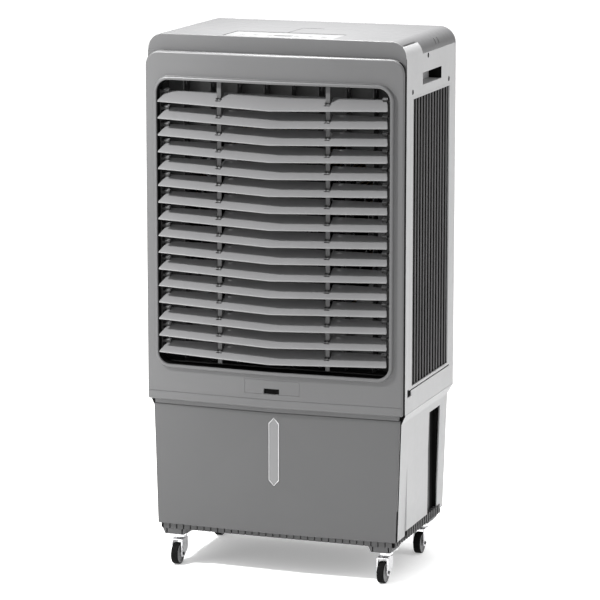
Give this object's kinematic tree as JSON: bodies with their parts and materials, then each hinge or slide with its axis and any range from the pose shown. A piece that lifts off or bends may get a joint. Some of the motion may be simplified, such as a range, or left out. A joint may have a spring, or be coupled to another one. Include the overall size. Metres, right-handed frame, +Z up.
{
  "type": "evaporative cooler",
  "caption": "Tall portable evaporative cooler on castors: tilting louvres, swing vanes, axial fan, wetted side and rear pads, and a water tank with a pump below.",
  "frame": {"origin": "on the floor, below the middle of the whole cooler's bounding box", "axes": "+Z up; the louvres face -Y; +X is to the right of someone who looks at the front"},
  "size_m": [0.607, 0.4338, 1.2235],
  "materials": {
    "grey_plastic": "satin moulded",
    "light_grey_plastic": "satin moulded",
    "inner_grey_plastic": "satin moulded",
    "link_grey_plastic": "satin moulded",
    "black_plastic": "satin moulded",
    "pad_paper": "fluted cellulose",
    "hose_rubber": "matte",
    "plug_rubber": "matte",
    "motor_steel": "satin",
    "zinc_steel": "bright zinc plate",
    "castor_tyre": "matte",
    "window_plastic": "gloss"
  },
  "bodies": {
    "root": {"front_bezel": "grey_plastic", "cabinet_shell": "light_grey_plastic", "top_cover": "grey_plastic", "control_panel": "light_grey_plastic", "cooling_pads": "pad_paper", "water_distributor": "inner_grey_plastic", "supply_hose": "hose_rubber", "water_pump": "black_plastic", "fan_shroud": "black_plastic", "fan_guard": "black_plastic", "fan_motor": "motor_steel", "vane_frame": "black_plastic", "swing_motor": "motor_steel", "louvre_brackets": "black_plastic", "tank_shell": "light_grey_plastic", "tank_front_panel": "grey_plastic", "level_window": "window_plastic", "base_skirt": "black_plastic", "castor_plates": "zinc_steel", "fasteners": "zinc_steel"},
    "side_grille_left": {"side_grille_left": "black_plastic"},
    "side_grille_right": {"side_grille_right": "black_plastic"},
    "rear_grille": {"rear_grille": "black_plastic"},
    "fan_impeller": {"fan_impeller": "inner_grey_plastic"},
    "vane_link": {"vane_link": "black_plastic"},
    "louvre_links": {"louvre_links": "link_grey_plastic"},
    "fill_drawer": {"fill_drawer": "grey_plastic"},
    "drain_plug": {"drain_plug": "plug_rubber"},
    "swing_vane_1": {"swing_vane_1": "black_plastic"},
    "swing_vane_2": {"swing_vane_2": "black_plastic"},
    "swing_vane_3": {"swing_vane_3": "black_plastic"},
    "swing_vane_4": {"swing_vane_4": "black_plastic"},
    "swing_vane_5": {"swing_vane_5": "black_plastic"},
    "swing_vane_6": {"swing_vane_6": "black_plastic"},
    "swing_vane_7": {"swing_vane_7": "black_plastic"},
    "swing_vane_8": {"swing_vane_8": "black_plastic"},
    "louvre_blade_01": {"louvre_blade_01": "grey_plastic"},
    "louvre_blade_02": {"louvre_blade_02": "grey_plastic"},
    "louvre_blade_03": {"louvre_blade_03": "grey_plastic"},
    "louvre_blade_04": {"louvre_blade_04": "grey_plastic"},
    "louvre_blade_05": {"louvre_blade_05": "grey_plastic"},
    "louvre_blade_06": {"louvre_blade_06": "grey_plastic"},
    "louvre_blade_07": {"louvre_blade_07": "grey_plastic"},
    "louvre_blade_08": {"louvre_blade_08": "grey_plastic"},
    "louvre_blade_09": {"louvre_blade_09": "grey_plastic"},
    "louvre_blade_10": {"louvre_blade_10": "grey_plastic"},
    "louvre_blade_11": {"louvre_blade_11": "grey_plastic"},
    "louvre_blade_12": {"louvre_blade_12": "grey_plastic"},
    "louvre_blade_13": {"louvre_blade_13": "grey_plastic"},
    "louvre_blade_14": {"louvre_blade_14": "grey_plastic"},
    "louvre_blade_15": {"louvre_blade_15": "grey_plastic"},
    "louvre_blade_16": {"louvre_blade_16": "grey_plastic"},
    "castor_fork_fl": {"castor_fork_fl": "zinc_steel"},
    "castor_fork_fr": {"castor_fork_fr": "zinc_steel"},
    "castor_fork_rl": {"castor_fork_rl": "zinc_steel"},
    "castor_fork_rr": {"castor_fork_rr": "zinc_steel"},
    "castor_wheel_fl": {"castor_wheel_fl": "castor_tyre"},
    "castor_wheel_fr": {"castor_wheel_fr": "castor_tyre"},
    "castor_wheel_rl": {"castor_wheel_rl": "castor_tyre"},
    "castor_wheel_rr": {"castor_wheel_rr": "castor_tyre"}
  },
  "joints": [
    {"name": "louvre_01", "type": "hinge", "parent": "root", "child": "louvre_blade_01", "pos_m": [0, -0.17062, 1.09495], "axis": [1, 0, 0], "range_deg": [-53, 22]},
    {"name": "louvre_02", "type": "hinge", "parent": "root", "child": "louvre_blade_02", "pos_m": [0, -0.17062, 1.05702], "axis": [1, 0, 0], "range_deg": [-53, 22]},
    {"name": "louvre_03", "type": "hinge", "parent": "root", "child": "louvre_blade_03", "pos_m": [0, -0.17062, 1.01909], "axis": [1, 0, 0], "range_deg": [-53, 22]},
    {"name": "louvre_04", "type": "hinge", "parent": "root", "child": "louvre_blade_04", "pos_m": [0, -0.17062, 0.98116], "axis": [1, 0, 0], "range_deg": [-53, 22]},
    {"name": "louvre_05", "type": "hinge", "parent": "root", "child": "louvre_blade_05", "pos_m": [0, -0.17062, 0.94323], "axis": [1, 0, 0], "range_deg": [-53, 22]},
    {"name": "louvre_06", "type": "hinge", "parent": "root", "child": "louvre_blade_06", "pos_m": [0, -0.17062, 0.9053], "axis": [1, 0, 0], "range_deg": [-53, 22]},
    {"name": "louvre_07", "type": "hinge", "parent": "root", "child": "louvre_blade_07", "pos_m": [0, -0.17062, 0.86737], "axis": [1, 0, 0], "range_deg": [-53, 22]},
    {"name": "louvre_08", "type": "hinge", "parent": "root", "child": "louvre_blade_08", "pos_m": [0, -0.17062, 0.82944], "axis": [1, 0, 0], "range_deg": [-53, 22]},
    {"name": "louvre_09", "type": "hinge", "parent": "root", "child": "louvre_blade_09", "pos_m": [0, -0.17062, 0.79151], "axis": [1, 0, 0], "range_deg": [-53, 22]},
    {"name": "louvre_10", "type": "hinge", "parent": "root", "child": "louvre_blade_10", "pos_m": [0, -0.17062, 0.75358], "axis": [1, 0, 0], "range_deg": [-53, 22]},
    {"name": "louvre_11", "type": "hinge", "parent": "root", "child": "louvre_blade_11", "pos_m": [0, -0.17062, 0.71565], "axis": [1, 0, 0], "range_deg": [-53, 22]},
    {"name": "louvre_12", "type": "hinge", "parent": "root", "child": "louvre_blade_12", "pos_m": [0, -0.17062, 0.67772], "axis": [1, 0, 0], "range_deg": [-53, 22]},
    {"name": "louvre_13", "type": "hinge", "parent": "root", "child": "louvre_blade_13", "pos_m": [0, -0.17062, 0.63979], "axis": [1, 0, 0], "range_deg": [-53, 22]},
    {"name": "louvre_14", "type": "hinge", "parent": "root", "child": "louvre_blade_14", "pos_m": [0, -0.17062, 0.60186], "axis": [1, 0, 0], "range_deg": [-53, 22]},
    {"name": "louvre_15", "type": "hinge", "parent": "root", "child": "louvre_blade_15", "pos_m": [0, -0.17062, 0.56393], "axis": [1, 0, 0], "range_deg": [-53, 22]},
    {"name": "louvre_16", "type": "hinge", "parent": "root", "child": "louvre_blade_16", "pos_m": [0, -0.17062, 0.526], "axis": [1, 0, 0], "range_deg": [-53, 22]},
    {"name": "louvre_link_pivot", "type": "hinge", "parent": "louvre_blade_01", "child": "louvre_links", "pos_m": [0, -0.19075, 1.08188], "axis": [1, 0, 0], "range_deg": [-22, 53]},
    {"name": "vane_1", "type": "hinge", "parent": "root", "child": "swing_vane_1", "pos_m": [-0.2233, -0.14262, 0.7935], "axis": [0, 0, 1], "range_deg": [-40, 40]},
    {"name": "vane_2", "type": "hinge", "parent": "root", "child": "swing_vane_2", "pos_m": [-0.1595, -0.14262, 0.7935], "axis": [0, 0, 1], "range_deg": [-40, 40]},
    {"name": "vane_3", "type": "hinge", "parent": "root", "child": "swing_vane_3", "pos_m": [-0.0957, -0.14262, 0.7935], "axis": [0, 0, 1], "range_deg": [-40, 40]},
    {"name": "vane_4", "type": "hinge", "parent": "root", "child": "swing_vane_4", "pos_m": [-0.0319, -0.14262, 0.7935], "axis": [0, 0, 1], "range_deg": [-40, 40]},
    {"name": "vane_5", "type": "hinge", "parent": "root", "child": "swing_vane_5", "pos_m": [0.0319, -0.14262, 0.7935], "axis": [0, 0, 1], "range_deg": [-40, 40]},
    {"name": "vane_6", "type": "hinge", "parent": "root", "child": "swing_vane_6", "pos_m": [0.0957, -0.14262, 0.7935], "axis": [0, 0, 1], "range_deg": [-40, 40]},
    {"name": "vane_7", "type": "hinge", "parent": "root", "child": "swing_vane_7", "pos_m": [0.1595, -0.14262, 0.7935], "axis": [0, 0, 1], "range_deg": [-40, 40]},
    {"name": "vane_8", "type": "hinge", "parent": "root", "child": "swing_vane_8", "pos_m": [0.2233, -0.14262, 0.7935], "axis": [0, 0, 1], "range_deg": [-40, 40]},
    {"name": "vane_link_pivot", "type": "hinge", "parent": "swing_vane_1", "child": "vane_link", "pos_m": [-0.2233, -0.12962, 0.5045], "axis": [0, 0, 1], "range_deg": [-40, 40]},
    {"name": "fan_spin", "type": "hinge", "parent": "root", "child": "fan_impeller", "pos_m": [0, -0.08562, 0.80075], "axis": [0, 1, 0], "continuous": true},
    {"name": "fill_drawer_slide", "type": "slide", "parent": "root", "child": "fill_drawer", "axis": [0, -1, 0], "range_m": [0, 0.045]},
    {"name": "drain_plug_pull", "type": "slide", "parent": "root", "child": "drain_plug", "axis": [0, 1, 0], "range_m": [0, 0.03]},
    {"name": "grille_left_lift", "type": "slide", "parent": "root", "child": "side_grille_left", "axis": [-1, 0, 0], "range_m": [0, 0.08]},
    {"name": "grille_right_lift", "type": "slide", "parent": "root", "child": "side_grille_right", "axis": [1, 0, 0], "range_m": [0, 0.08]},
    {"name": "grille_rear_lift", "type": "slide", "parent": "root", "child": "rear_grille", "axis": [0, 1, 0], "range_m": [0, 0.08]},
    {"name": "castor_swivel_fl", "type": "hinge", "parent": "root", "child": "castor_fork_fl", "pos_m": [-0.248, -0.13262, 0.06], "axis": [0, 0, 1], "continuous": true},
    {"name": "castor_roll_fl", "type": "hinge", "parent": "castor_fork_fl", "child": "castor_wheel_fl", "pos_m": [-0.248, -0.15062, 0.025], "axis": [1, 0, 0], "continuous": true},
    {"name": "castor_swivel_fr", "type": "hinge", "parent": "root", "child": "castor_fork_fr", "pos_m": [0.248, -0.13262, 0.06], "axis": [0, 0, 1], "continuous": true},
    {"name": "castor_roll_fr", "type": "hinge", "parent": "castor_fork_fr", "child": "castor_wheel_fr", "pos_m": [0.248, -0.15062, 0.025], "axis": [1, 0, 0], "continuous": true},
    {"name": "castor_swivel_rl", "type": "hinge", "parent": "root", "child": "castor_fork_rl", "pos_m": [-0.248, 0.14138, 0.06], "axis": [0, 0, 1], "continuous": true},
    {"name": "castor_roll_rl", "type": "hinge", "parent": "castor_fork_rl", "child": "castor_wheel_rl", "pos_m": [-0.248, 0.12338, 0.025], "axis": [1, 0, 0], "continuous": true},
    {"name": "castor_swivel_rr", "type": "hinge", "parent": "root", "child": "castor_fork_rr", "pos_m": [0.248, 0.14138, 0.06], "axis": [0, 0, 1], "continuous": true},
    {"name": "castor_roll_rr", "type": "hinge", "parent": "castor_fork_rr", "child": "castor_wheel_rr", "pos_m": [0.248, 0.12338, 0.025], "axis": [1, 0, 0], "continuous": true}
  ],
  "couplings": [
    {"joint": "louvre_02", "follows": "louvre_01", "ratio": 1},
    {"joint": "louvre_03", "follows": "louvre_01", "ratio": 1},
    {"joint": "louvre_04", "follows": "louvre_01", "ratio": 1},
    {"joint": "louvre_05", "follows": "louvre_01", "ratio": 1},
    {"joint": "louvre_06", "follows": "louvre_01", "ratio": 1},
    {"joint": "louvre_07", "follows": "louvre_01", "ratio": 1},
    {"joint": "louvre_08", "follows": "louvre_01", "ratio": 1},
    {"joint": "louvre_09", "follows": "louvre_01", "ratio": 1},
    {"joint": "louvre_10", "follows": "louvre_01", "ratio": 1},
    {"joint": "louvre_11", "follows": "louvre_01", "ratio": 1},
    {"joint": "louvre_12", "follows": "louvre_01", "ratio": 1},
    {"joint": "louvre_13", "follows": "louvre_01", "ratio": 1},
    {"joint": "louvre_14", "follows": "louvre_01", "ratio": 1},
    {"joint": "louvre_15", "follows": "louvre_01", "ratio": 1},
    {"joint": "louvre_16", "follows": "louvre_01", "ratio": 1},
    {"joint": "louvre_link_pivot", "follows": "louvre_01", "ratio": -1},
    {"joint": "vane_2", "follows": "vane_1", "ratio": 1},
    {"joint": "vane_3", "follows": "vane_1", "ratio": 1},
    {"joint": "vane_4", "follows": "vane_1", "ratio": 1},
    {"joint": "vane_5", "follows": "vane_1", "ratio": 1},
    {"joint": "vane_6", "follows": "vane_1", "ratio": 1},
    {"joint": "vane_7", "follows": "vane_1", "ratio": 1},
    {"joint": "vane_8", "follows": "vane_1", "ratio": 1},
    {"joint": "vane_link_pivot", "follows": "vane_1", "ratio": -1}
  ]
}
